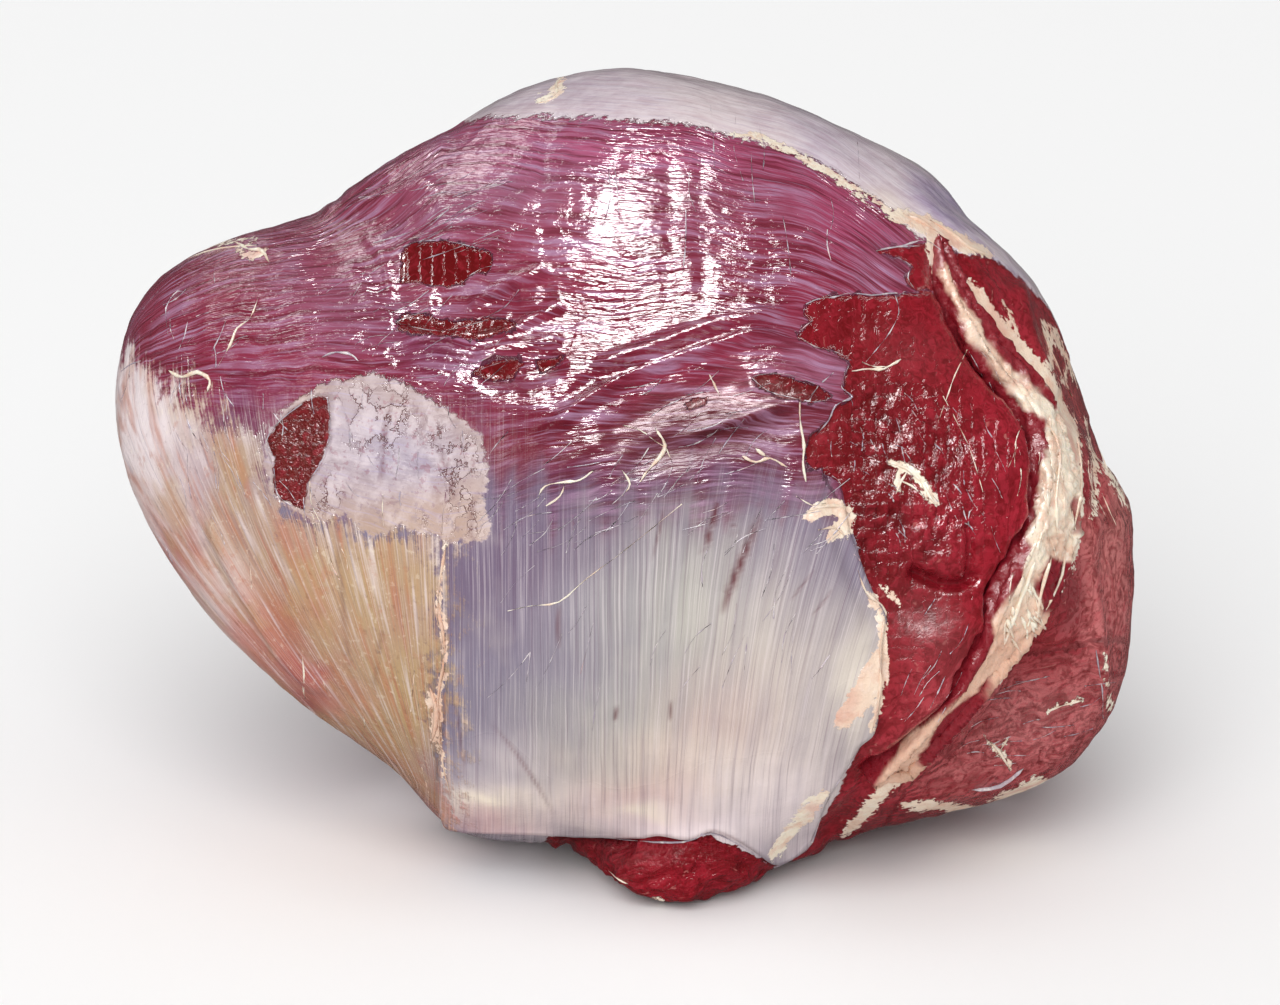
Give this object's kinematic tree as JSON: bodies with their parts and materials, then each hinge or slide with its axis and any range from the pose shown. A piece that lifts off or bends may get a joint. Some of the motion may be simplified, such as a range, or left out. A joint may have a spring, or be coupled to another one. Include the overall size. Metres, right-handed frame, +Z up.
{
  "type": "raw beef knuckle",
  "caption": "Whole boneless raw beef knuckle, a rounded trimmed muscle with silverskin and a tendon sheet, lying on its flat underside.",
  "frame": {"origin": "middle of the bounding box, on the surface that the meat lies on", "axes": "+X from the narrow nose to the cut butt end, -Y out of the silverskin side, +Z up"},
  "size_m": [0.2582, 0.1975, 0.1918],
  "materials": {
    "meat": "wet red muscle under a glossy purple film, with a pale tendon sheet",
    "fat": "soft cream fat, slightly moist"
  },
  "bodies": {
    "root": {"beef_knuckle": "meat", "fat_seam": "fat"}
  },
  "joints": []
}
